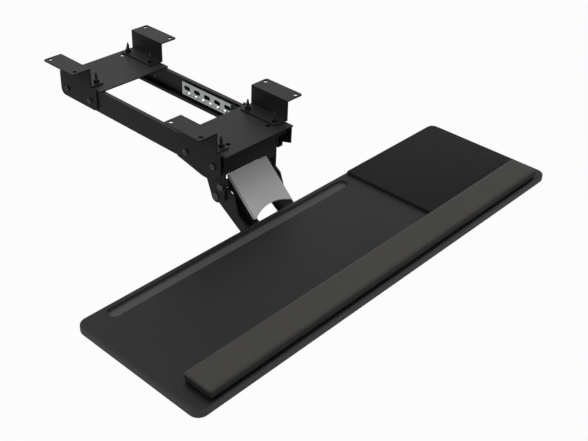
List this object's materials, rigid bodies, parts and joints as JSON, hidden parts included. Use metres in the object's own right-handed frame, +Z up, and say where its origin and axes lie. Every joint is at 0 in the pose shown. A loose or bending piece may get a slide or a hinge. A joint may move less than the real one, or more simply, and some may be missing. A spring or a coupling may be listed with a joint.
{
  "type": "under-desk keyboard tray",
  "caption": "Under-desk keyboard tray on a short sliding track, with a parallel lift arm, a tilting deck, a palm rest and a mouse pad.",
  "frame": {"origin": "centre of the desk screw pattern, in the plane of the desk's underside", "axes": "+X to the user's right, +Y away from the user along the track, +Z up"},
  "size_m": [0.67, 0.586, 0.1717],
  "materials": {
    "black_steel": "fine-grained matt black powder coat",
    "rail_steel": "satin black electro-coat",
    "dark_zinc": "black zinc",
    "zinc": "bright zinc plate",
    "polished_steel": "polished balls",
    "bright_screws": "plain steel under thin black",
    "rubber": "black rubber",
    "grey_cover": "smooth satin grey paint",
    "black_plastic": "moulded black plastic",
    "deck_board": "fibreboard in black foil, round edges",
    "pad_cloth": "fine black cloth on foam",
    "rest_skin": "soft matt grey skin on foam"
  },
  "bodies": {
    "track": {"front_left_bracket": "black_steel", "front_right_bracket": "black_steel", "rear_left_bracket": "black_steel", "rear_right_bracket": "black_steel", "bracket_studs": "dark_zinc", "bracket_nuts": "dark_zinc", "front_plate": "black_steel", "rear_plate": "black_steel", "left_rail": "rail_steel", "right_rail": "rail_steel", "rail_screws": "bright_screws", "travel_stops": "rubber", "flange_buffer": "rubber"},
    "carriage": {"left_slide": "rail_steel", "right_slide": "rail_steel", "carriage": "black_steel", "carriage_screws": "bright_screws", "arm_rear_shaft": "bright_screws", "link_rear_shaft": "bright_screws", "rear_shaft_clips": "dark_zinc"},
    "left_retainer": {"left_ball_retainer": "zinc", "left_balls": "polished_steel"},
    "right_retainer": {"right_ball_retainer": "zinc", "right_balls": "polished_steel"},
    "arm": {"lower_arm": "black_steel"},
    "link": {"upper_link": "black_steel", "link_cover": "grey_cover"},
    "head": {"head_bracket": "black_steel", "arm_front_shaft": "bright_screws", "link_front_shaft": "bright_screws", "front_shaft_clips": "dark_zinc"},
    "tilt_lock": {"tilt_shaft": "bright_screws", "tilt_knob": "black_plastic"},
    "tray": {"tray_bracket": "black_steel", "tray_screws": "dark_zinc", "deck": "deck_board", "mouse_pad": "pad_cloth", "palm_rest_base": "black_plastic", "palm_rest": "rest_skin"}
  },
  "joints": [
    {"name": "carriage_slide", "type": "slide", "parent": "track", "child": "carriage", "axis": [0, 1, 0], "range_m": [0, 0.22]},
    {"name": "left_retainer_travel", "type": "slide", "parent": "track", "child": "left_retainer", "axis": [0, 1, 0], "range_m": [0, 0.11]},
    {"name": "right_retainer_travel", "type": "slide", "parent": "track", "child": "right_retainer", "axis": [0, 1, 0], "range_m": [0, 0.11]},
    {"name": "arm_lift", "type": "hinge", "parent": "carriage", "child": "arm", "pos_m": [0, -0.1415, -0.1075], "axis": [1, 0, 0], "range_deg": [-3.5, 15]},
    {"name": "link_lift", "type": "hinge", "parent": "carriage", "child": "link", "pos_m": [0, -0.15, -0.09], "axis": [1, 0, 0], "range_deg": [-3.5, 15]},
    {"name": "head_level", "type": "hinge", "parent": "arm", "child": "head", "pos_m": [0, -0.22489, -0.16269], "axis": [1, 0, 0], "range_deg": [-15, 3.5]},
    {"name": "tray_tilt", "type": "hinge", "parent": "head", "child": "tray", "pos_m": [0, -0.24999, -0.13799], "axis": [1, 0, 0], "range_deg": [-5, 12]},
    {"name": "tilt_knob_turn", "type": "hinge", "parent": "head", "child": "tilt_lock", "pos_m": [0.06, -0.24999, -0.13799], "axis": [1, 0, 0], "range_deg": [0, 180]}
  ],
  "couplings": [
    {"joint": "left_retainer_travel", "follows": "carriage_slide", "ratio": 0.5},
    {"joint": "right_retainer_travel", "follows": "carriage_slide", "ratio": 0.5},
    {"joint": "link_lift", "follows": "arm_lift", "ratio": 1},
    {"joint": "head_level", "follows": "arm_lift", "ratio": -1}
  ]
}
